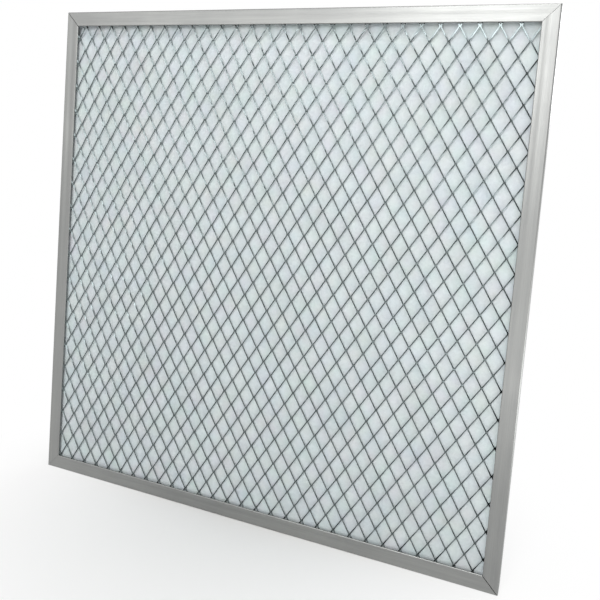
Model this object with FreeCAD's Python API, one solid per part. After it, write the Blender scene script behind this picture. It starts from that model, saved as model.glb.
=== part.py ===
import FreeCAD, Part
import math
import os

# Washable panel pre-filter, in millimetres.
# Four mitred aluminium channel rails hold two sheets of expanded metal with a fibre pad between them.
# X runs to the right, Y away from the viewer and Z up. The panel stands on its bottom rail, and the
# origin is at the middle of that rail's underside.

# Panel
panel_width = 595.0
panel_height = 595.0
panel_depth = 25.0

# Rail channel
rail_face = 17.3
rail_wall = 1.2
inner_bend_radius = 0.3
lip_edge_radius = 0.9
valley_half_width = 5.0
valley_depth = 0.2
valley_to_edge = 2.7

# Open mitres at the corners
mitre_gap_bottom_left = 0.15
mitre_gap_bottom_right = 0.7
mitre_gap_top_left = 0.6
mitre_gap_top_right = 0.3

# Corner keys, which are bent angles that lie against the webs inside two rails
key_leg = 44.0
key_wall = 2.5
key_bend_radius = 2.6
key_clearance = 0.08
key_side_clearance = 0.4

# Flush blind rivets, one through each leg of each key
rivet_from_corner = 28.0
rivet_radius = 1.6
rivet_head_radius = 3.0
rivet_head_height = 0.9
rivet_head_recess = 0.06
rivet_tail_radius = 2.4
rivet_tail_height = 1.5
rivet_clearance = 0.06

# Expanded metal sheets: a diamond lattice, domed outward by the pad behind it
edge_space = 6.3
mesh_pitch_x = 19.59
mesh_pitch_z = 30.01
mesh_phase_x = -4.7
mesh_phase_z = -9.6
strand_width = 1.3
strand_thickness = 0.75
strand_layer_gap = 0.45
rim_cover = 0.05
rim_to_lip_edge = 1.0
mesh_clearance = 0.2
bulge = 10.4
bulge_rise = 6.4

# Fibre pad
pad_clearance = 0.6

# Values worked out from the sizes above
centre_z = panel_height / 2
half_width = panel_width / 2
half_height = panel_height / 2
half_depth = panel_depth / 2
outer_bend_radius = inner_bend_radius + rail_wall
channel_half = half_depth - rail_wall
sight_half_x = half_width - rail_face
sight_half_z = half_height - rail_face
sheet_inset = rail_wall + edge_space
sheet_half_x = half_width - sheet_inset
sheet_half_z = half_height - sheet_inset
dome_half_x = sight_half_x + rim_to_lip_edge
dome_half_z = sight_half_z + rim_to_lip_edge
mesh_thickness = 2 * (strand_thickness + rim_cover) + strand_layer_gap
mesh_front = channel_half - mesh_clearance
mesh_back = mesh_front - mesh_thickness
pad_face = mesh_back - pad_clearance

X_AXIS = FreeCAD.Vector(1, 0, 0)
Y_AXIS = FreeCAD.Vector(0, 1, 0)
Z_AXIS = FreeCAD.Vector(0, 0, 1)


def vec(x, y, z):
    return FreeCAD.Vector(x, y, z)


def save(name, shape):
    """Write one node, after a look that it is sound."""
    if not shape.isValid():
        raise RuntimeError("shape is not valid: " + name)
    shape.exportStep(os.path.join("parts", name + ".step"))
    print(name, "solids", len(shape.Solids), "volume", round(shape.Volume, 1))


def arc(centre, radius, start_deg, end_deg):
    """Arc edge in the YZ plane; angles run from +Y towards +Z."""
    points = []
    for angle in (start_deg, (start_deg + end_deg) / 2, end_deg):
        turn = math.radians(angle)
        points.append(centre + vec(0, radius * math.cos(turn), radius * math.sin(turn)))
    return Part.Arc(*points).toShape()


def line(start, end):
    return Part.LineSegment(start, end).toShape()


# Rails

def valley(face_y, start):
    """Soft valley along the lip's face: convex, concave and convex arcs of one radius, all tangent."""
    radius = valley_half_width ** 2 / (4 * valley_depth) + valley_depth / 4
    quarter = valley_half_width / 4
    shoulder = radius - math.sqrt(radius ** 2 - quarter ** 2)
    profile = (
        (0, 0),
        (1, shoulder),
        (2, valley_depth / 2),
        (4, valley_depth),
        (6, valley_depth / 2),
        (7, shoulder),
        (8, 0),
    )
    points = [vec(0, face_y + depth, start + step * quarter) for step, depth in profile]
    return [Part.Arc(*points[first:first + 3]).toShape() for first in (0, 2, 4)]


def half_section():
    """Edges of the channel's front half, from the web's outside round the lip to the web's inside."""
    face_y = -half_depth
    inside_y = -channel_half
    valley_end = rail_face - valley_to_edge
    valley_start = valley_end - 2 * valley_half_width
    lip_corner = rail_face - lip_edge_radius
    bend = vec(0, face_y + outer_bend_radius, outer_bend_radius)
    rim = vec(0, face_y + lip_edge_radius, lip_corner)
    return [
        line(vec(0, 0, 0), vec(0, face_y + outer_bend_radius, 0)),
        arc(bend, outer_bend_radius, 270, 180),
        line(vec(0, face_y, outer_bend_radius), vec(0, face_y, valley_start)),
        *valley(face_y, valley_start),
        line(vec(0, face_y, valley_end), vec(0, face_y, lip_corner)),
        arc(rim, lip_edge_radius, 180, 90),
        line(vec(0, face_y + lip_edge_radius, rail_face), vec(0, inside_y, rail_face)),
        line(vec(0, inside_y, rail_face), vec(0, inside_y, outer_bend_radius)),
        arc(bend, inner_bend_radius, 180, 270),
        line(vec(0, inside_y + inner_bend_radius, rail_wall), vec(0, 0, rail_wall)),
    ]


def channel(length):
    """Channel along X, centred, with its web at z = 0 and its lips pointing up."""
    edges = half_section()
    back = Part.Compound(edges).mirror(vec(0, 0, 0), Y_AXIS).Edges
    wire = Part.Wire(Part.__sortEdges__(edges + back))
    body = Part.Face(wire).extrude(X_AXIS * length)
    body.translate(X_AXIS * (-length / 2))
    return body


def mitred_rail(length, low_gap, high_gap):
    """Channel cut at 45 degrees at both ends, with half of each corner's mitre gap taken off."""
    low = -length / 2 + low_gap / math.sqrt(2)
    high = length / 2 - high_gap / math.sqrt(2)
    outline = Part.makePolygon([
        vec(low, -half_depth, 0),
        vec(high, -half_depth, 0),
        vec(high - rail_face, -half_depth, rail_face),
        vec(low + rail_face, -half_depth, rail_face),
        vec(low, -half_depth, 0),
    ])
    wedge = Part.Face(outline).extrude(Y_AXIS * panel_depth)
    rail = channel(length).common(wedge)
    for side in (-1, 1):
        hole = rivet_hole()
        hole.translate(vec(side * (length / 2 - rivet_from_corner), 0, 0))
        rail = rail.cut(hole)
    return rail.Solids[0]


def rivet_hole():
    """Countersunk hole up through a web that lies at z = 0, with the rivet's clearance all round."""
    radius = rivet_radius + rivet_clearance
    head = rivet_head_radius + rivet_clearance
    shank = Part.makeCylinder(radius, rail_wall * 3, vec(0, 0, -rail_wall), Z_AXIS)
    mouth = Part.makeCylinder(head, rail_wall + rivet_head_recess, vec(0, 0, -rail_wall), Z_AXIS)
    sink = Part.makeCone(head, radius, rivet_head_height, vec(0, 0, rivet_head_recess), Z_AXIS)
    return shank.fuse([mouth, sink])


def build_rails():
    """Each rail is made lying along X, then turned about Y; its gaps are given as it lies."""
    bottom_left, bottom_right = mitre_gap_bottom_left, mitre_gap_bottom_right
    top_left, top_right = mitre_gap_top_left, mitre_gap_top_right
    turns = {
        "bottom_rail": (0, panel_width, (bottom_left, bottom_right), vec(0, 0, 0)),
        "left_rail": (90, panel_height, (top_left, bottom_left), vec(-half_width, 0, centre_z)),
        "top_rail": (180, panel_width, (top_right, top_left), vec(0, 0, panel_height)),
        "right_rail": (270, panel_height, (bottom_right, top_right), vec(half_width, 0, centre_z)),
    }
    rails = {}
    for name, (angle, length, gaps, place) in turns.items():
        rail = mitred_rail(length, *gaps)
        rail.rotate(vec(0, 0, 0), Y_AXIS, angle)
        rail.translate(place)
        rails[name] = rail
    return rails


# Corners

def to_corner(shape, side_x, side_z):
    """Mirror a shape of the bottom left corner to another corner."""
    if side_x > 0:
        shape = shape.mirror(vec(0, 0, 0), X_AXIS)
    if side_z > 0:
        shape = shape.mirror(vec(0, 0, centre_z), Z_AXIS)
    return shape


def corner_key():
    """Bent angle in the bottom left corner, with a rivet hole through each leg."""
    inset = rail_wall + key_clearance
    half = channel_half - key_side_clearance
    corner = vec(-half_width + inset, -half, inset)
    outside = Part.makePolygon([
        corner,
        corner + X_AXIS * key_leg,
        corner + X_AXIS * key_leg + Z_AXIS * key_wall,
        corner + vec(key_wall, 0, key_wall),
        corner + Z_AXIS * key_leg + X_AXIS * key_wall,
        corner + Z_AXIS * key_leg,
        corner,
    ])
    key = Part.Face(outside).extrude(Y_AXIS * (2 * half))
    bend_edges = [edge for edge in key.Edges if is_bend_edge(edge, corner)]
    key = key.makeFillet(key_bend_radius, bend_edges)
    for hole in rivet_bores(rivet_radius + rivet_clearance):
        key = key.cut(hole)
    return key.Solids[0]


def is_bend_edge(edge, corner):
    """True for the outer edge where the key's two legs meet."""
    points = [vertex.Point for vertex in edge.Vertexes]
    return all(abs(p.x - corner.x) < 0.01 and abs(p.z - corner.z) < 0.01 for p in points)


def rivet_axes():
    """Outer end and direction of the two rivets of the bottom left corner."""
    return [
        (vec(-half_width + rivet_from_corner, 0, 0), Z_AXIS),
        (vec(-half_width, 0, rivet_from_corner), X_AXIS),
    ]


def rivet_bores(radius):
    reach = rail_wall + key_clearance + key_wall
    return [Part.makeCylinder(radius, reach * 2, place, axis) for place, axis in rivet_axes()]


def corner_rivets():
    """Two blind rivets: a countersunk head flush with the web, and a set tail behind the key."""
    grip = rail_wall + key_clearance + key_wall + rivet_clearance
    pair = []
    for place, axis in rivet_axes():
        start = place + axis * rivet_head_recess
        shank = Part.makeCylinder(rivet_radius, grip - rivet_head_recess, start, axis)
        head = Part.makeCone(rivet_head_radius, rivet_radius, rivet_head_height, start, axis)
        tail = Part.makeCylinder(rivet_tail_radius, rivet_tail_height, place + axis * grip, axis)
        pair.append(shank.fuse([head, tail]).removeSplitter().Solids[0])
    return Part.Compound(pair)


# Expanded metal

def dome(x, z):
    """Height of the bulge inside the rim: a parabola each way, and fuller towards the top."""
    across = x / dome_half_x
    upward = (z - centre_z) / dome_half_z
    if abs(across) >= 1 or abs(upward) >= 1:
        return 0.0
    return (bulge + bulge_rise * upward) * (1 - across ** 2) * (1 - upward ** 2)


def clip(point, direction, reach_x, reach_z):
    """Start and end along a line inside a centred rectangle, or None where the line misses it."""
    low, high = -math.inf, math.inf
    limits = ((point.x, direction.x, reach_x), (point.z - centre_z, direction.z, reach_z))
    for place, slope, reach in limits:
        ends = sorted(((-reach - place) / slope, (reach - place) / slope))
        low, high = max(low, ends[0]), min(high, ends[1])
    return (low, high) if high > low else None


def facet_length():
    """Longest facet that stays within the gap between the two layers of strands."""
    sag = 0.7 * strand_layer_gap
    return min(dome_half_x, dome_half_z) * math.sqrt(4 * sag / (bulge + bulge_rise))


def strand(point, direction, layer_front):
    """One strand: a flat bar that runs straight from rim to rim and follows the dome in facets."""
    ends = clip(point, direction, dome_half_x + rim_to_lip_edge, dome_half_z + rim_to_lip_edge)
    seen = clip(point, direction, sight_half_x, sight_half_z)
    if seen is None or seen[1] - seen[0] < 2 * strand_width:
        return None
    length = ends[1] - ends[0]
    facets = max(2, math.ceil(length / facet_length()))
    front = []
    for i in range(facets + 1):
        spot = point + direction * (ends[0] + length * i / facets)
        front.append(vec(spot.x, -layer_front - dome(spot.x, spot.z), spot.z))
    back = [spot + Y_AXIS * strand_thickness for spot in reversed(front)]
    side = direction.cross(Y_AXIS) * (strand_width / 2)
    profile = Part.Face(Part.makePolygon(front + back + front[:1]))
    profile.translate(side * -1)
    return profile.extrude(side * 2)


def strand_family(lean, layer_front):
    """All strands that lean one way; lean is 1 for up to the right and -1 for up to the left."""
    direction = vec(mesh_pitch_x / 2 * lean, 0, mesh_pitch_z / 2)
    direction.normalize()
    reach = math.ceil(sheet_half_x / mesh_pitch_x + sheet_half_z / mesh_pitch_z) + 1
    bars = []
    for index in range(-reach, reach + 1):
        knuckle = vec(mesh_phase_x + index * mesh_pitch_x, 0, centre_z + mesh_phase_z)
        bar = strand(knuckle, direction, layer_front)
        if bar is not None:
            bars.append(bar)
    return bars


def front_mesh():
    """Rim under the lips and two crossed layers of strands, joined as one sheet."""
    outer = Part.makeBox(2 * sheet_half_x, mesh_thickness, 2 * sheet_half_z,
                         vec(-sheet_half_x, -mesh_front, centre_z - sheet_half_z))
    inner = Part.makeBox(2 * dome_half_x, mesh_thickness, 2 * dome_half_z,
                         vec(-dome_half_x, -mesh_front, centre_z - dome_half_z))
    rim = outer.cut(inner)
    upper = strand_family(1, mesh_front - rim_cover)
    lower = strand_family(-1, mesh_back + rim_cover + strand_thickness)
    return rim.fuse(upper + lower)


# Fibre pad

def pad_patch():
    """Domed face of the pad inside the rim: the same bulge as one patch, square across and cubic up."""
    patch = Part.BezierSurface()
    patch.increase(2, 3)
    columns = ((-dome_half_x, 0), (0, 2), (dome_half_x, 0))
    rows = (
        (-dome_half_z, 0),
        (-dome_half_z / 3, 4 / 3 * (bulge - bulge_rise)),
        (dome_half_z / 3, 4 / 3 * (bulge + bulge_rise)),
        (dome_half_z, 0),
    )
    for i, (x, share) in enumerate(columns):
        for j, (z, lift) in enumerate(rows):
            patch.setPole(i + 1, j + 1, vec(x, -pad_face - share * lift, centre_z + z))
    return patch.toShape()


def rectangle(half_x, half_z, y):
    corners = ((-1, -1), (1, -1), (1, 1), (-1, 1), (-1, -1))
    return Part.makePolygon([vec(sx * half_x, y, centre_z + sz * half_z) for sx, sz in corners])


def filter_pad():
    """Pad as one closed solid: flat where the rails grip it and domed over the opening."""
    front = [pad_patch()]
    border = rectangle(sheet_half_x, sheet_half_z, -pad_face)
    opening = rectangle(dome_half_x, dome_half_z, -pad_face)
    front.append(Part.Face(border).cut(Part.Face(opening)).Faces[0])
    back = [face.mirror(vec(0, 0, 0), Y_AXIS) for face in front]
    sides = Part.makeBox(2 * sheet_half_x, 2 * pad_face, 2 * sheet_half_z,
                         vec(-sheet_half_x, -pad_face, centre_z - sheet_half_z))
    edge_faces = [face for face in sides.Faces if abs(face.normalAt(0, 0).y) < 0.5]
    shell = Part.Shell([part for face in front + back + edge_faces for part in face.Faces])
    shell.sewShape()
    pad = Part.Solid(shell)
    if pad.Volume < 0:
        pad.reverse()
    return pad


def main():
    os.makedirs("parts", exist_ok=True)
    for name, rail in build_rails().items():
        save(name, rail)
    corners = {
        "bottom_left": (-1, -1),
        "bottom_right": (1, -1),
        "top_left": (-1, 1),
        "top_right": (1, 1),
    }
    key = corner_key()
    rivets = corner_rivets()
    for name, (side_x, side_z) in corners.items():
        save("corner_key_" + name, to_corner(key, side_x, side_z))
        save("rivets_" + name, to_corner(rivets, side_x, side_z))
    mesh = front_mesh()
    save("front_mesh", mesh)
    save("rear_mesh", mesh.mirror(vec(0, 0, 0), Y_AXIS))
    save("filter_pad", filter_pad())


main()
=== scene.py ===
import math

import bpy
import numpy as np
from mathutils import Matrix, Vector


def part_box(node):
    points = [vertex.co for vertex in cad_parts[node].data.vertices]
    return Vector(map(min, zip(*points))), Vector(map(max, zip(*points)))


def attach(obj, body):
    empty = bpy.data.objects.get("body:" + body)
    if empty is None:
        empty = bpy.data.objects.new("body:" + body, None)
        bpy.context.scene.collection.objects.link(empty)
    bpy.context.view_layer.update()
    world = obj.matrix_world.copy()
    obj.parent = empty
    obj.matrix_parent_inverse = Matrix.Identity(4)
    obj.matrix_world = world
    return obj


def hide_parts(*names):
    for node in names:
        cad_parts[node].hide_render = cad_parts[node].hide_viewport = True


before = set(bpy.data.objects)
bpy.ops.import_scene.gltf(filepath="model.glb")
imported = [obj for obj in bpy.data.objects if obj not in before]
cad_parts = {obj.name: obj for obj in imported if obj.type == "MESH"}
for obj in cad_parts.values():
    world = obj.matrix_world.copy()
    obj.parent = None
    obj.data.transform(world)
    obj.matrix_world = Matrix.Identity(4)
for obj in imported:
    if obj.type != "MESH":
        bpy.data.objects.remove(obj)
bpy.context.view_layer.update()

bl_info = {
    "name": "Washable panel pre-filter",
    "version": (1, 0, 0),
    "blender": (4, 5, 0),
    "location": "View3D > Sidebar > Pre-filter",
    "description": "Expanded metal faces, fleece pad and finishes of a framed washable pre-filter",
    "category": "Object",
}

MM = 0.001
TAU = 2 * math.pi

RAILS_ALONG_X = ("bottom_rail", "top_rail")
RAILS_ALONG_Z = ("left_rail", "right_rail")
CORNERS = ("bottom_left", "bottom_right", "top_left", "top_right")


def cad_size():
    """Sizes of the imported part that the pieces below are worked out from, in metres.

    The opening is what the rails' lips leave free. The sheets and the pad reach on under the lips.
    """
    sheet_low, sheet_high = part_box("front_mesh")
    rail_low, rail_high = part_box("bottom_rail")
    pad_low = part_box("filter_pad")[0]
    rail_face = rail_high[2] - rail_low[2]
    centre_z = (sheet_high[2] + sheet_low[2]) / 2
    return {
        "centre_z": centre_z,
        "opening_half_x": rail_high[0] - rail_face,
        "opening_half_z": centre_z - rail_face,
        "sheet_half_x": (sheet_high[0] - sheet_low[0]) / 2,
        "sheet_half_z": (sheet_high[2] - sheet_low[2]) / 2,
        "sheet_front": -sheet_low[1],
        "pad_front": -pad_low[1],
    }


SIZE = cad_size()


# Colours and nodes

def linear(hex_colour):
    """sRGB hex colour as linear red, green, blue and an alpha of 1."""
    channels = [int(hex_colour[i:i + 2], 16) / 255 for i in (1, 3, 5)]
    curved = [c / 12.92 if c <= 0.04045 else ((c + 0.055) / 1.055) ** 2.4 for c in channels]
    return (*curved, 1.0)


def add_node(tree, kind, links=(), **settings):
    """Adds a node; a setting names an attribute or an input, and links are (input, source socket)."""
    node = tree.nodes.new(kind)
    for key, value in settings.items():
        if hasattr(node, key):
            setattr(node, key, value)
        else:
            node.inputs[key.replace("_", " ")].default_value = value
    for target, source in links:
        tree.links.new(source, node.inputs[target])
    return node


def new_material(name):
    """Node material with its output and shader, and the object's own coordinates."""
    material = bpy.data.materials.new(name)
    material.use_nodes = True
    tree = material.node_tree
    tree.nodes.clear()
    shader = add_node(tree, "ShaderNodeBsdfPrincipled")
    add_node(tree, "ShaderNodeOutputMaterial", [("Surface", shader.outputs["BSDF"])])
    place = add_node(tree, "ShaderNodeTexCoord").outputs["Object"]
    return material, tree, shader, place


def ramp(tree, factor, low, shade, high, colour):
    """Colour ramp: the shade up to the low factor, the colour from the high one on."""
    node = add_node(tree, "ShaderNodeValToRGB", [("Fac", factor)])
    first, last = node.color_ramp.elements
    first.position = low
    first.color = linear(shade)
    last.position = high
    last.color = linear(colour)
    return node.outputs["Color"]


def mean_of_three(tree, first, second, third):
    """Mean of three patterns that each go from 0 to 1."""
    pair = add_node(tree, "ShaderNodeMath", [(0, first), (1, second)], operation="ADD")
    total = add_node(tree, "ShaderNodeMath", [(0, pair.outputs["Value"]), (1, third)], operation="ADD")
    mean = add_node(tree, "ShaderNodeMath", [(0, total.outputs["Value"])], operation="MULTIPLY")
    mean.inputs[1].default_value = 1 / 3
    return mean.outputs["Value"]


# Materials

def drawn_aluminium(name, along, colour, shade):
    """Mill-finish aluminium channel, drawn through a die: satin, with faint streaks lengthwise.

    The drawing lines are under 0.1 mm apart, too fine for the render, so they are drawn 0.9 mm
    apart. With bands about 5 mm wide they run along the rail, 50 times longer than wide. Clouds
    about 60 mm across lie over both. Where the metal is duller it is also a little rougher.
    """
    material, tree, shader, place = new_material(name)
    stretch = [1.0, 1.0, 1.0]
    stretch["XYZ".index(along)] = 1 / 50
    lengthwise = add_node(tree, "ShaderNodeMapping", [("Vector", place)], Scale=stretch).outputs["Vector"]
    lines = add_node(tree, "ShaderNodeTexNoise", [("Vector", lengthwise)],
                     Scale=1 / (0.9 * MM), Detail=2.0, Roughness=0.6)
    bands = add_node(tree, "ShaderNodeTexNoise", [("Vector", lengthwise)],
                     Scale=1 / (5 * MM), Detail=1.0, Roughness=0.5)
    clouds = add_node(tree, "ShaderNodeTexNoise", [("Vector", place)],
                      Scale=1 / (60 * MM), Detail=2.0)
    finish = mean_of_three(tree, lines.outputs["Fac"], bands.outputs["Fac"], clouds.outputs["Fac"])

    dull = 0.36
    bright = 0.64
    tint = ramp(tree, finish, dull, shade, bright, colour)
    tree.links.new(tint, shader.inputs["Base Color"])
    rough = add_node(tree, "ShaderNodeMapRange", [("Value", finish)],
                     From_Min=dull, From_Max=bright, To_Min=0.42, To_Max=0.36)
    tree.links.new(rough.outputs["Result"], shader.inputs["Roughness"])
    bump = add_node(tree, "ShaderNodeBump", [("Height", finish)], Strength=0.15, Distance=0.04 * MM)
    tree.links.new(bump.outputs["Normal"], shader.inputs["Normal"])
    shader.inputs["Metallic"].default_value = 1.0
    return material


def slit_aluminium(name, colour, shade):
    """Aluminium sheet, slit and stretched: grey strand faces that gleam unevenly.

    Patches about 9 mm long, one or two on each leg, are duller and faintly uneven.
    """
    material, tree, shader, place = new_material(name)
    patches = add_node(tree, "ShaderNodeTexNoise", [("Vector", place)],
                       Scale=1 / (9 * MM), Detail=2.0, Roughness=0.7).outputs["Fac"]
    tint = ramp(tree, patches, 0.35, shade, 0.65, colour)
    tree.links.new(tint, shader.inputs["Base Color"])
    bump = add_node(tree, "ShaderNodeBump", [("Height", patches)], Strength=0.4, Distance=0.1 * MM)
    tree.links.new(bump.outputs["Normal"], shader.inputs["Normal"])
    shader.inputs["Metallic"].default_value = 1.0
    shader.inputs["Roughness"].default_value = 0.22
    return material


def polyester_fleece(name, colour, shade):
    """Bonded polyester fleece: matt and bluish white, cloudy where more fibres lie.

    The fibres are under 0.1 mm thick, too fine for the render, so they are drawn as curled streaks
    about 1.6 mm wide, in swirls of 7 mm and clumps of 30 mm. Very weak casts of other hues, about
    22 mm across, stand for the ones in the photograph.
    """
    material, tree, shader, place = new_material(name)
    swirls = add_node(tree, "ShaderNodeTexNoise", [("Vector", place)],
                      Scale=1 / (7 * MM), Detail=2.0, Distortion=1.5)
    clumps = add_node(tree, "ShaderNodeTexNoise", [("Vector", place)],
                      Scale=1 / (30 * MM), Detail=3.0)
    fibres = add_node(tree, "ShaderNodeTexNoise", [("Vector", place)],
                      Scale=1 / (1.6 * MM), Detail=3.0, Roughness=0.7, Distortion=2.5)
    fleece = mean_of_three(tree, swirls.outputs["Fac"], clumps.outputs["Fac"], fibres.outputs["Fac"])
    tint = ramp(tree, fleece, 0.38, shade, 0.6, colour)
    casts = add_node(tree, "ShaderNodeTexNoise", [("Vector", place)], Scale=1 / (22 * MM), Detail=1.0)

    # In a colour mix, input 0 is the factor, 6 and 7 are the two colours, and output 2 is the mix
    tinted = add_node(tree, "ShaderNodeMix", [(6, tint), (7, casts.outputs["Color"])],
                      data_type="RGBA", blend_type="SOFT_LIGHT")
    tinted.inputs[0].default_value = 0.2
    tree.links.new(tinted.outputs[2], shader.inputs["Base Color"])
    bump = add_node(tree, "ShaderNodeBump", [("Height", fleece)], Strength=0.5, Distance=1.2 * MM)
    tree.links.new(bump.outputs["Normal"], shader.inputs["Normal"])
    shader.inputs["Roughness"].default_value = 0.95
    shader.inputs["Sheen Weight"].default_value = 0.15
    shader.inputs["Sheen Roughness"].default_value = 0.6
    shader.inputs["Specular IOR Level"].default_value = 0.2
    return material


def plain_aluminium(name, colour, shade, roughness):
    """Small aluminium parts: an even grey with faint tumbling marks about 2 mm across."""
    material, tree, shader, place = new_material(name)
    marks = add_node(tree, "ShaderNodeTexNoise", [("Vector", place)], Scale=1 / (2 * MM), Detail=2.0)
    tint = ramp(tree, marks.outputs["Fac"], 0.35, shade, 0.65, colour)
    tree.links.new(tint, shader.inputs["Base Color"])
    shader.inputs["Metallic"].default_value = 1.0
    shader.inputs["Roughness"].default_value = roughness
    return material


# Meshes

def new_piece(name, vertices, faces, smooth):
    """Mesh object from an array of vertices in metres and an array of four-cornered faces."""
    mesh = bpy.data.meshes.new(name)
    mesh.vertices.add(len(vertices))
    mesh.vertices.foreach_set("co", np.asarray(vertices, dtype=np.float32).ravel())
    mesh.loops.add(faces.size)
    mesh.loops.foreach_set("vertex_index", faces.astype(np.int32).ravel())
    mesh.polygons.add(len(faces))
    mesh.polygons.foreach_set("loop_start", np.arange(0, faces.size, 4, dtype=np.int32))
    mesh.polygons.foreach_set("loop_total", np.full(len(faces), 4, dtype=np.int32))
    mesh.update(calc_edges=True)
    mesh.validate()
    mesh.polygons.foreach_set("use_smooth", np.full(len(mesh.polygons), smooth, dtype=bool))
    piece = bpy.data.objects.new(name, mesh)
    bpy.context.scene.collection.objects.link(piece)
    return piece


def in_opening(x, z):
    """Place in the opening as u across and w up, both from -1 to 1 between the lips."""
    return x / SIZE["opening_half_x"], (z - SIZE["centre_z"]) / SIZE["opening_half_z"]


def below_top_lip(z):
    """Distance below the inner edge of the top lip."""
    return SIZE["centre_z"] + SIZE["opening_half_z"] - z


def smooth_step(share):
    """0 up to a share of 0 and 1 from a share of 1 on, between them 3 s^2 - 2 s^3."""
    clipped = np.clip(share, 0, 1)
    return clipped ** 2 * (3 - 2 * clipped)


def rim_share(x, z):
    """1 at the middle of the opening and 0 at the lips: (1 - u^2) (1 - w^2)."""
    across, upward = in_opening(x, z)
    return np.clip(1 - across ** 2, 0, 1) * np.clip(1 - upward ** 2, 0, 1)


def dome(x, z, settings):
    """Height of the bulge: the rim share times a height that grows evenly towards the top."""
    upward = in_opening(x, z)[1]
    return (settings.bulge + settings.bulge_rise * upward) * rim_share(x, z)


def dome_peak(settings):
    """Highest point of the bulge, on the panel's middle line."""
    z = SIZE["centre_z"] * np.linspace(0, 2, 201)
    return dome(0 * z, z, settings).max()


def row_drift(x, z, settings):
    """How far a row of knuckles lies above an even lattice, as the sheet wasn't stretched evenly.

    It is bow w^2 + w (side u^2 - fan u - middle (1 - w^2)).
    """
    across, upward = in_opening(x, z)
    sides = settings.side_bow * across ** 2 - settings.middle_bow * (1 - upward ** 2)
    return settings.row_bow * upward ** 2 + (sides - settings.row_fan * across) * upward


def column_drift(x, z, settings):
    """How far a column of knuckles lies to the right of an even lattice.

    In the right half it is pull u^4 at the top lip, which fades evenly to nothing at w = -2/3.
    Below the middle, sag (w^2 - w) (1 - w^2) comes off.
    """
    across, upward = in_opening(x, z)
    pull_end = -2 / 3
    fade = np.clip((upward - pull_end) / (1 - pull_end), 0, 1)
    pulled = settings.column_pull * np.clip(across, 0, 1) ** 4 * fade
    below = np.clip(upward, -1, 0)
    return pulled - settings.column_sag * (below ** 2 - below) * (1 - below ** 2)


def slant_share(x, z, settings):
    """0 where the top lip presses the strands flat, and 1 where they stand in their full slant.

    The flat strip under the lip widens with the square of the way from the left to the right, and
    the smooth step below it is as wide as the strip.
    """
    way = (1 + in_opening(x, z)[0]) / 2
    narrowest = 0.01
    strip = settings.press_reach * np.clip(way, narrowest, 1) ** 2
    return smooth_step(below_top_lip(z) / strip - 1)


def leg_profile():
    """Stations along one leg, from knuckle to knuckle, and how far over the strand is at each.

    The strand runs straight beside its neighbour in the knuckle, then bends and crosses on a
    straight line to the next knuckle. The lean goes from 1 to -1.
    """
    stations = np.array([0.0, 0.03, 0.07, 0.12, 0.3, 0.5, 0.7, 0.88, 0.93, 0.97])
    lean = np.array([1.0, 1.0, 0.95, 0.84, 0.44, 0.0, -0.44, -0.84, -0.95, -1.0])
    return stations, lean


def strand_numbers(settings):
    """Numbers of the strands that fit the sheet; strand i is on x = phase + (i + 1/2) pitch / 2."""
    half_pitch = settings.pitch_x / 2
    reach = SIZE["sheet_half_x"] - settings.strand_width
    first = math.ceil((-reach - settings.phase_x) / half_pitch - 0.5)
    last = math.floor((reach - settings.phase_x) / half_pitch - 0.5)
    return np.arange(first, last + 1)


def strand_rings(settings):
    """Numbers of the legs up a strand, and each ring's height, leg, share of the leg and lean."""
    half_pitch = settings.pitch_z / 2
    knuckle_z = SIZE["centre_z"] + settings.phase_z
    first = math.floor((SIZE["centre_z"] - SIZE["sheet_half_z"] - knuckle_z) / half_pitch)
    end = math.ceil((SIZE["centre_z"] + SIZE["sheet_half_z"] - knuckle_z) / half_pitch)
    legs = np.arange(first, end)
    stations, lean = leg_profile()
    z = knuckle_z + (legs[:, None] + stations).ravel() * half_pitch
    rings = (z, np.repeat(legs, len(stations)), np.tile(stations, len(legs)), np.tile(lean, len(legs)))
    inside = np.abs(z - SIZE["centre_z"]) < SIZE["sheet_half_z"] - settings.strand_width
    return legs, [values[inside] for values in rings]


def bar_faces(bars, rings):
    """Faces of closed bars: each bar is a run of rings of four corners, joined up and capped."""
    corners = np.arange(4)
    after = (corners + 1) % 4
    bar = np.arange(bars)[:, None, None] * rings * 4
    ring = bar + np.arange(rings - 1)[None, :, None] * 4
    sides = np.stack([ring + corners, ring + after, ring + 4 + after, ring + 4 + corners], axis=-1)
    start = bar[:, 0] + corners[::-1]
    end = bar[:, 0] + (rings - 1) * 4 + corners
    return np.concatenate([sides.reshape(-1, 4), start, end])


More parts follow.
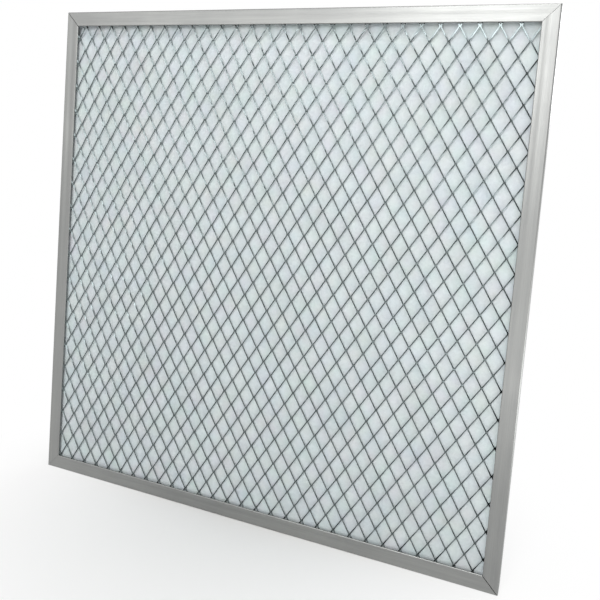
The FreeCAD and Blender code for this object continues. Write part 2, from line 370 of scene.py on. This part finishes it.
def expanded_sheet(name, side, settings):
    """Raised expanded metal sheet as its real zigzag strands.

    Each strand runs up the panel and leans against its left or right neighbour in turn, at each row
    of knuckles. Its section is a flat bar turned by the tilt about the vertical, so it lies like a
    louvre, and the two strands of a knuckle are halves of one bar twice as wide. Within a leg it
    turns a little to and fro. Under the top lip the strands are pressed flat. The whole sheet is
    lifted by the dome, and its rows and columns drift as the real ones do.
    """
    seed = 7 if side < 0 else 8
    rng = np.random.default_rng(seed)
    strands = strand_numbers(settings)[:, None]
    legs, (z, leg, share, lean) = strand_rings(settings)
    turn = np.where((strands + 1 + leg) % 2 == 0, 1.0, -1.0)
    over = turn * lean
    line_x = settings.phase_x + (strands + 0.5) * settings.pitch_x / 2

    # One draw for each leg of each strand, and one more per strand that isn't used
    draws = rng.normal(0, 1, (len(strands), len(legs) + 1))
    uneven = settings.unevenness * draws[:, leg - legs[0]] * np.sin(np.pi * share)
    swing = settings.leg_swing * np.sin(TAU * share) * turn
    slant = slant_share(line_x, z[None, :], settings)
    tilt = settings.tilt * slant
    angle = tilt + slant * (uneven + swing)

    half_width = settings.strand_width / 2
    reach = settings.pitch_x / 4 - half_width * np.cos(tilt)
    centre = np.stack([line_x + over * reach, -over * half_width * np.sin(tilt)], axis=-1)
    wide = np.stack([np.cos(angle), np.sin(angle)], axis=-1) * half_width
    thick = np.stack([-np.sin(angle), np.cos(angle)], axis=-1) * settings.strand_thickness / 2
    corners = np.stack([centre - wide - thick, centre + wide - thick,
                        centre + wide + thick, centre - wide + thick], axis=2)
    even_x = corners[..., 0]
    depth = corners[..., 1]
    even_z = np.broadcast_to(z[None, :, None], even_x.shape)
    height = even_z + settings.row_slope * even_x + row_drift(even_x, even_z, settings)
    x = even_x + column_drift(even_x, height, settings)
    rim = SIZE["sheet_front"] - dome_peak(settings) - np.abs(depth).max()
    y = side * (rim + dome(x, height, settings)) + depth
    vertices = np.stack([x, y, height], axis=-1).reshape(-1, 3)
    return new_piece(name, vertices, bar_faces(len(strands), len(z)), smooth=False)


def fleece_pad(name, sheets, settings):
    """Fibre pad as one closed skin, front and rear.

    Both faces are the dome with a soft cushion in every diamond: the square of the product of two
    sines, which is 0 under the strands and 1 in the middle of a diamond. The hollows between the
    cushions fade out at the lips. Under the top lip the pad sags away from the sheet. The edge is a
    plain wall.
    """
    count = settings.grid
    steps = np.linspace(-1, 1, count)
    x, z = np.meshgrid(steps * (SIZE["sheet_half_x"] - settings.edge_gap),
                       SIZE["centre_z"] + steps * (SIZE["sheet_half_z"] - settings.edge_gap),
                       indexing="ij")
    even_z = z - sheets.row_slope * x - row_drift(x, z, sheets)
    over = (x - column_drift(x, z, sheets) - sheets.phase_x) / sheets.pitch_x
    up = (even_z - SIZE["centre_z"] - sheets.phase_z) / sheets.pitch_z
    swell = (np.sin(np.pi * (over - up)) * np.sin(np.pi * (over + up))) ** 2
    full_share = 1 / 12
    inside = np.clip(rim_share(x, z) / full_share, 0, 1)
    sagged = settings.sag * (1 - smooth_step(below_top_lip(z) / settings.sag_reach))
    flat = SIZE["pad_front"] - dome_peak(sheets)
    rise = flat + dome(x, z, sheets) - settings.cushion * (1 - swell) * inside - sagged

    front = np.stack([x, -rise, z], axis=-1).reshape(-1, 3)
    back = np.stack([x, rise, z], axis=-1).reshape(-1, 3)
    grid = np.arange(count * count).reshape(count, count)
    low, high = grid[:-1], grid[1:]
    quads = np.stack([low[:, :-1], high[:, :-1], high[:, 1:], low[:, 1:]], axis=-1).reshape(-1, 4)
    edge = np.concatenate([grid[:, 0], grid[-1, 1:], grid[-2::-1, -1], grid[0, -2:0:-1]])
    after = np.roll(edge, -1)
    wall = np.stack([edge, edge + grid.size, after + grid.size, after], axis=-1)
    faces = np.concatenate([quads, quads[:, ::-1] + grid.size, wall])
    return new_piece(name, np.concatenate([front, back]), faces, smooth=True)


# Settings

class PrefilterMeshSettings(bpy.types.PropertyGroup):
    """Sizes and colours of the two expanded sheets"""
    pitch_x: bpy.props.FloatProperty(
        name="Diamond width", description="Width of a diamond from knuckle to knuckle",
        default=19.59 * MM, min=5 * MM, max=60 * MM, unit="LENGTH", precision=5)
    pitch_z: bpy.props.FloatProperty(
        name="Diamond height", description="Height of a diamond from knuckle to knuckle",
        default=29.975 * MM, min=5 * MM, max=90 * MM, unit="LENGTH", precision=5)
    phase_x: bpy.props.FloatProperty(
        name="Sideways phase", description="Place of the middle knuckle from the panel's centre",
        default=-4.8 * MM, min=-30 * MM, max=30 * MM, unit="LENGTH", precision=5)
    phase_z: bpy.props.FloatProperty(
        name="Upward phase", description="Height of the middle knuckle from the panel's centre",
        default=-9.9 * MM, min=-30 * MM, max=30 * MM, unit="LENGTH", precision=5)
    strand_width: bpy.props.FloatProperty(
        name="Strand width", description="Width of one slit strand",
        default=1.35 * MM, min=0.2 * MM, max=5 * MM, unit="LENGTH", precision=5)
    strand_thickness: bpy.props.FloatProperty(
        name="Strand thickness", description="Thickness of the sheet",
        default=0.6 * MM, min=0.1 * MM, max=3 * MM, unit="LENGTH", precision=5)
    tilt: bpy.props.FloatProperty(
        name="Tilt", description="Turn of each strand about the vertical",
        default=math.radians(40), min=-TAU / 4, max=TAU / 4, subtype="ANGLE", unit="ROTATION")
    leg_swing: bpy.props.FloatProperty(
        name="Leg swing", description="Turn to and fro within a leg, besides the tilt",
        default=math.radians(11), min=-TAU / 6, max=TAU / 6, subtype="ANGLE", unit="ROTATION")
    unevenness: bpy.props.FloatProperty(
        name="Unevenness", description="Spread of the turn from leg to leg",
        default=math.radians(4), min=0.0, max=TAU / 12, subtype="ANGLE", unit="ROTATION")
    press_reach: bpy.props.FloatProperty(
        name="Press reach", description="How far below the top lip the strands are flat at the right",
        default=18 * MM, min=1 * MM, max=100 * MM, unit="LENGTH", precision=5)
    bulge: bpy.props.FloatProperty(
        name="Bulge", description="Height of the dome at the middle of the panel",
        default=10.4 * MM, min=0.0, max=50 * MM, unit="LENGTH", precision=5)
    bulge_rise: bpy.props.FloatProperty(
        name="Bulge rise", description="How much fuller the dome is towards the top",
        default=6.4 * MM, min=-50 * MM, max=50 * MM, unit="LENGTH", precision=5)
    row_slope: bpy.props.FloatProperty(
        name="Row slope", description="Rise of the rows of knuckles for each metre to the right",
        default=-0.003, min=-0.05, max=0.05, precision=4)
    row_bow: bpy.props.FloatProperty(
        name="Row bow", description="Rise of the rows at the top and bottom lips",
        default=2.6 * MM, min=-10 * MM, max=10 * MM, unit="LENGTH", precision=5)
    side_bow: bpy.props.FloatProperty(
        name="Side bow", description="Extra spread of the rows at the left and right lips",
        default=2.3 * MM, min=-10 * MM, max=10 * MM, unit="LENGTH", precision=5)
    middle_bow: bpy.props.FloatProperty(
        name="Middle bow", description="How much closer the rows are halfway to the lips",
        default=1.4 * MM, min=-10 * MM, max=10 * MM, unit="LENGTH", precision=5)
    row_fan: bpy.props.FloatProperty(
        name="Row fan", description="How much closer the rows are at the right lip than in the middle",
        default=0.65 * MM, min=-10 * MM, max=10 * MM, unit="LENGTH", precision=5)
    column_pull: bpy.props.FloatProperty(
        name="Column pull", description="How far the last knuckles are drawn under the right lip",
        default=2.6 * MM, min=-10 * MM, max=10 * MM, unit="LENGTH", precision=5)
    column_sag: bpy.props.FloatProperty(
        name="Column sag", description="Sideways drift of the columns in the lower half",
        default=1.3 * MM, min=-10 * MM, max=10 * MM, unit="LENGTH", precision=5)
    colour: bpy.props.StringProperty(
        name="Colour", description="Bright colour of the strands, as sRGB hex", default="#6A7273")
    shade: bpy.props.StringProperty(
        name="Shade", description="Dull colour of the strands, as sRGB hex", default="#586060")


class PrefilterPadSettings(bpy.types.PropertyGroup):
    """Sizes and colours of the fleece pad"""
    cushion: bpy.props.FloatProperty(
        name="Cushion", description="How far the fleece swells into each diamond",
        default=0.5 * MM, min=0.0, max=5 * MM, unit="LENGTH", precision=5)
    sag: bpy.props.FloatProperty(
        name="Sag", description="How far the pad lies behind the sheet at the top lip",
        default=2.5 * MM, min=0.0, max=5 * MM, unit="LENGTH", precision=5)
    sag_reach: bpy.props.FloatProperty(
        name="Sag reach", description="How far below the top lip the pad meets the sheet again",
        default=22 * MM, min=1 * MM, max=100 * MM, unit="LENGTH", precision=5)
    edge_gap: bpy.props.FloatProperty(
        name="Edge gap", description="How far the pad's edge stays inside the edge of the sheets",
        default=1 * MM, min=0.0, max=10 * MM, unit="LENGTH", precision=5)
    grid: bpy.props.IntProperty(
        name="Grid", description="Points along each side of the pad", default=210, min=20, max=400)
    colour: bpy.props.StringProperty(
        name="Colour", description="Fleece colour, as sRGB hex", default="#DCE4E6")
    shade: bpy.props.StringProperty(
        name="Shade", description="Fleece colour between the fibres, as sRGB hex",
        default="#CED7D9")


class PrefilterFrameSettings(bpy.types.PropertyGroup):
    """Colours of the rails, the corner keys and the rivets"""
    colour: bpy.props.StringProperty(
        name="Colour", description="Bright colour of the rails, as sRGB hex", default="#979896")
    shade: bpy.props.StringProperty(
        name="Shade", description="Dull colour of the rails, as sRGB hex", default="#8B8C8B")
    key_colour: bpy.props.StringProperty(
        name="Key colour", description="Bright colour of the keys, as sRGB hex", default="#9A9C9D")
    key_shade: bpy.props.StringProperty(
        name="Key shade", description="Dull colour of the keys, as sRGB hex", default="#86898A")
    rivet_colour: bpy.props.StringProperty(
        name="Rivet colour", description="Bright colour of the rivets, as sRGB hex",
        default="#A9ABAC")
    rivet_shade: bpy.props.StringProperty(
        name="Rivet shade", description="Dull colour of the rivets, as sRGB hex",
        default="#989A9B")


class PrefilterStageSettings(bpy.types.PropertyGroup):
    """Colour and light of the stage"""
    floor: bpy.props.StringProperty(
        name="Floor", description="Floor colour, as sRGB hex", default="#F4F4F3")
    fill: bpy.props.FloatProperty(
        name="Fill", description="Strength of the even light from all sides", default=0.25,
        min=0.0, max=3.0)
    power: bpy.props.FloatProperty(
        name="Power", description="Share of the lamps' full power", default=1.0, min=0.0, max=20.0)


# Stage

# Camera, worked out from the four corners of the frame in the photograph: place in metres, angles
# in degrees, lens and sensor in millimetres, shifts as shares of the picture's width
CAMERA_PLACE = (0.31450, -0.61029, 0.40180)
CAMERA_AZIMUTH = 18.3655
CAMERA_ELEVATION = -4.5658
CAMERA_ROLL = 4.8888
CAMERA_LENS = 35.2218
CAMERA_SENSOR = 36.0
CAMERA_SHIFT_X = -0.10
CAMERA_SHIFT_Y = -0.10328
CAMERA_NEAR = 0.01
CAMERA_FAR = 100.0

# Lamps: the name, the place, the point aimed at, the width and height in metres, and the watts
LAMPS = (
    ("front lamp", (-0.7, -2.4, 1.1), (0.1, 0.0, 0.4), (3.0, 1.3), 14.4),
    ("strip lamp", (-0.03, -1.7, 1.4), (0.1, 0.0, 0.4), (0.45, 1.3), 11.5),
    ("top lamp", (0.74, -0.25, 1.87), (0.5, 0.07, 0.4), (1.5, 0.8), 16.0),
    ("low lamp at the right", (1.15, 0.0, 0.03), (1.15, 0.0, 2.0), (1.1, 1.2), 11.5),
    ("low lamp in front", (0.2, -0.8, 0.03), (0.2, -0.8, 2.0), (0.4, 0.7), 1.2),
    ("rear lamp", (0.4, 1.7, 1.1), (0.0, 0.0, 0.35), (1.5, 0.8), 16.0),
)

# Floor: radii of its rings, and how far from the panel's middle it starts and ends to fade, in
# metres
FLOOR_RADII = (0.5, 1, 2, 3, 5, 8, 14)
FLOOR_SIDES = 64
FADE_START = 0.0
FADE_END = 0.42


def camera_matrix():
    """World matrix of the camera: aimed by azimuth and elevation, then rolled about its own axis."""
    turn = math.radians(CAMERA_AZIMUTH)
    lift = math.radians(CAMERA_ELEVATION)
    ahead = Vector((-math.sin(turn) * math.cos(lift), math.cos(turn) * math.cos(lift),
                    math.sin(lift)))
    level = ahead.to_track_quat("-Z", "Y").to_matrix().to_4x4()
    roll = Matrix.Rotation(math.radians(CAMERA_ROLL), 4, "Z")
    return Matrix.Translation(CAMERA_PLACE) @ level @ roll


def add_camera():
    """Camera that sees the panel as the photograph does."""
    camera = bpy.data.objects.new("camera", bpy.data.cameras.new("camera"))
    camera.data.sensor_width = CAMERA_SENSOR
    camera.data.lens = CAMERA_LENS
    camera.data.shift_x = CAMERA_SHIFT_X
    camera.data.shift_y = CAMERA_SHIFT_Y
    camera.data.clip_start = CAMERA_NEAR
    camera.data.clip_end = CAMERA_FAR
    camera.matrix_world = camera_matrix()
    bpy.context.scene.collection.objects.link(camera)
    bpy.context.scene.camera = camera


def add_lamp(name, place, target, width, height, power):
    """Soft rectangular lamp aimed at a point."""
    light = bpy.data.lights.new(name, "AREA")
    light.shape = "RECTANGLE"
    light.size = width
    light.size_y = height
    light.energy = power
    lamp = bpy.data.objects.new(name, light)
    aim = (Vector(target) - Vector(place)).to_track_quat("-Z", "Y").to_matrix().to_4x4()
    lamp.matrix_world = Matrix.Translation(place) @ aim
    bpy.context.scene.collection.objects.link(lamp)


def seen_directly(tree):
    """1 for a ray from the camera, off metal or through glass, and 0 for light on the object."""
    path = add_node(tree, "ShaderNodeLightPath").outputs
    gloss = add_node(tree, "ShaderNodeMath",
                     [(0, path["Is Camera Ray"]), (1, path["Is Glossy Ray"])], operation="MAXIMUM")
    return add_node(tree, "ShaderNodeMath",
                    [(0, gloss.outputs["Value"]), (1, path["Is Transmission Ray"])],
                    operation="MAXIMUM").outputs["Value"]


def white_world(fill):
    """World that is white where it is seen and a softer even light on the object."""
    world = bpy.data.worlds.new("studio")
    world.use_nodes = True
    tree = world.node_tree
    tree.nodes.clear()
    light = add_node(tree, "ShaderNodeBackground", Color=linear("#FFFFFF"), Strength=fill)
    white = add_node(tree, "ShaderNodeBackground", Color=linear("#FFFFFF"), Strength=1.0)
    mixed = add_node(tree, "ShaderNodeMixShader", [
        (0, seen_directly(tree)), (1, light.outputs["Background"]), (2, white.outputs["Background"])])
    add_node(tree, "ShaderNodeOutputWorld", [("Surface", mixed.outputs["Shader"])])
    bpy.context.scene.world = world


def floor_paint(name, colour):
    """Matt off-white paint that is seen to fade into pure white away from the panel.

    Only the camera and reflections see it fade. As a source of soft light it stays the paint.
    """
    material, tree, shader, place = new_material(name)
    shader.inputs["Base Color"].default_value = linear(colour)
    shader.inputs["Roughness"].default_value = 0.9
    distance = add_node(tree, "ShaderNodeVectorMath", [(0, place)], operation="LENGTH")
    fade = add_node(tree, "ShaderNodeMapRange", [("Value", distance.outputs["Value"])],
                    interpolation_type="SMOOTHSTEP", From_Min=FADE_START, From_Max=FADE_END)
    share = add_node(tree, "ShaderNodeMath",
                     [(0, fade.outputs["Result"]), (1, seen_directly(tree))], operation="MULTIPLY")
    white = add_node(tree, "ShaderNodeEmission", Color=linear("#FFFFFF"), Strength=1.0)
    mixed = add_node(tree, "ShaderNodeMixShader", [
        (0, share.outputs["Value"]), (1, shader.outputs["BSDF"]), (2, white.outputs["Emission"])])
    tree.links.new(mixed.outputs["Shader"], tree.nodes["Material Output"].inputs["Surface"])
    return material


def pale_floor(colour):
    """Large round floor: rings of corners on circles about the origin, and a plain inner disc."""
    angle = np.arange(FLOOR_SIDES) / FLOOR_SIDES * TAU
    circle = np.stack([np.cos(angle), np.sin(angle), 0 * angle], axis=-1)
    vertices = (np.array(FLOOR_RADII)[:, None, None] * circle).reshape(-1, 3)
    inner = np.arange(len(FLOOR_RADII) - 1)[:, None] * FLOOR_SIDES
    here = np.arange(FLOOR_SIDES)
    after = (here + 1) % FLOOR_SIDES
    quads = np.stack([inner + here, inner + FLOOR_SIDES + here, inner + FLOOR_SIDES + after,
                      inner + after], axis=-1).reshape(-1, 4)
    mesh = bpy.data.meshes.new("floor")
    mesh.from_pydata(vertices.tolist(), [], [*quads.tolist(), here.tolist()])
    mesh.materials.append(floor_paint("matt painted floor", colour))
    floor = bpy.data.objects.new("floor", mesh)
    bpy.context.scene.collection.objects.link(floor)


# Operators

def dress(piece, material):
    """Gives a piece one material in place of those that it has."""
    piece.data.materials.clear()
    piece.data.materials.append(material)


class PREFILTER_OT_rails(bpy.types.Operator):
    """Finish the four channel rails in drawn mill aluminium"""
    bl_idname = "prefilter.rails"
    bl_label = "Finish the rails"

    def execute(self, context):
        look = context.scene.prefilter_frame
        for along, names in (("X", RAILS_ALONG_X), ("Z", RAILS_ALONG_Z)):
            drawn = drawn_aluminium("drawn aluminium along " + along, along, look.colour, look.shade)
            for name in names:
                dress(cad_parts[name], drawn)
        return {"FINISHED"}


class PREFILTER_OT_corners(bpy.types.Operator):
    """Finish the corner keys and the flush rivets"""
    bl_idname = "prefilter.corners"
    bl_label = "Finish the corners"

    def execute(self, context):
        look = context.scene.prefilter_frame
        key = plain_aluminium("pressed aluminium key", look.key_colour, look.key_shade, 0.45)
        rivet = plain_aluminium("set aluminium rivet", look.rivet_colour, look.rivet_shade, 0.3)
        for corner in CORNERS:
            dress(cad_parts["corner_key_" + corner], key)
            dress(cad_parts["rivets_" + corner], rivet)
        return {"FINISHED"}


class PREFILTER_OT_sheets(bpy.types.Operator):
    """Build the front and rear sheets of raised expanded aluminium"""
    bl_idname = "prefilter.sheets"
    bl_label = "Build the expanded sheets"

    def execute(self, context):
        settings = context.scene.prefilter_mesh
        metal = slit_aluminium("expanded aluminium sheet", settings.colour, settings.shade)
        for name, side in (("front_mesh", -1), ("rear_mesh", 1)):
            sheet = expanded_sheet("expanded_" + name, side, settings)
            dress(sheet, metal)
            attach(sheet, "root")
            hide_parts(name)
        return {"FINISHED"}


class PREFILTER_OT_pad(bpy.types.Operator):
    """Build the fleece pad that swells into the diamonds"""
    bl_idname = "prefilter.pad"
    bl_label = "Build the fleece pad"

    def execute(self, context):
        settings = context.scene.prefilter_pad
        pad = fleece_pad("fleece_pad", context.scene.prefilter_mesh, settings)
        dress(pad, polyester_fleece("bonded polyester fleece", settings.colour, settings.shade))
        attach(pad, "root")
        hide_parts("filter_pad")
        return {"FINISHED"}


class PREFILTER_OT_stage(bpy.types.Operator):
    """Set up the floor, the soft light and the camera"""
    bl_idname = "prefilter.stage"
    bl_label = "Set the stage"

    def execute(self, context):
        settings = context.scene.prefilter_stage
        pale_floor(settings.floor)
        white_world(settings.fill)
        for name, place, target, size, watts in LAMPS:
            add_lamp(name, place, target, *size, watts * settings.power)
        add_camera()
        context.scene.view_settings.view_transform = "Standard"
        return {"FINISHED"}


class PREFILTER_PT_panel(bpy.types.Panel):
    """Sidebar list of the pre-filter's steps"""
    bl_idname = "PREFILTER_PT_panel"
    bl_label = "Pre-filter"
    bl_space_type = "VIEW_3D"
    bl_region_type = "UI"
    bl_category = "Pre-filter"

    def draw(self, context):
        for step in STEPS:
            self.layout.operator(step.bl_idname)


SETTINGS = {
    "prefilter_mesh": PrefilterMeshSettings,
    "prefilter_pad": PrefilterPadSettings,
    "prefilter_frame": PrefilterFrameSettings,
    "prefilter_stage": PrefilterStageSettings,
}
STEPS = (
    PREFILTER_OT_rails,
    PREFILTER_OT_corners,
    PREFILTER_OT_sheets,
    PREFILTER_OT_pad,
    PREFILTER_OT_stage,
)
CLASSES = (*SETTINGS.values(), *STEPS, PREFILTER_PT_panel)


def register():
    """Registers the classes and hangs the settings on the scene."""
    for cls in CLASSES:
        bpy.utils.register_class(cls)
    for name, group in SETTINGS.items():
        setattr(bpy.types.Scene, name, bpy.props.PointerProperty(type=group))


def unregister():
    """Takes the settings off the scene and unregisters the classes."""
    for name in SETTINGS:
        delattr(bpy.types.Scene, name)
    for cls in reversed(CLASSES):
        bpy.utils.unregister_class(cls)


def main():
    """Runs every step in order."""
    register()
    bpy.ops.prefilter.rails()
    bpy.ops.prefilter.corners()
    bpy.ops.prefilter.sheets()
    bpy.ops.prefilter.pad()
    bpy.ops.prefilter.stage()


if __name__ == "__main__":
    main()
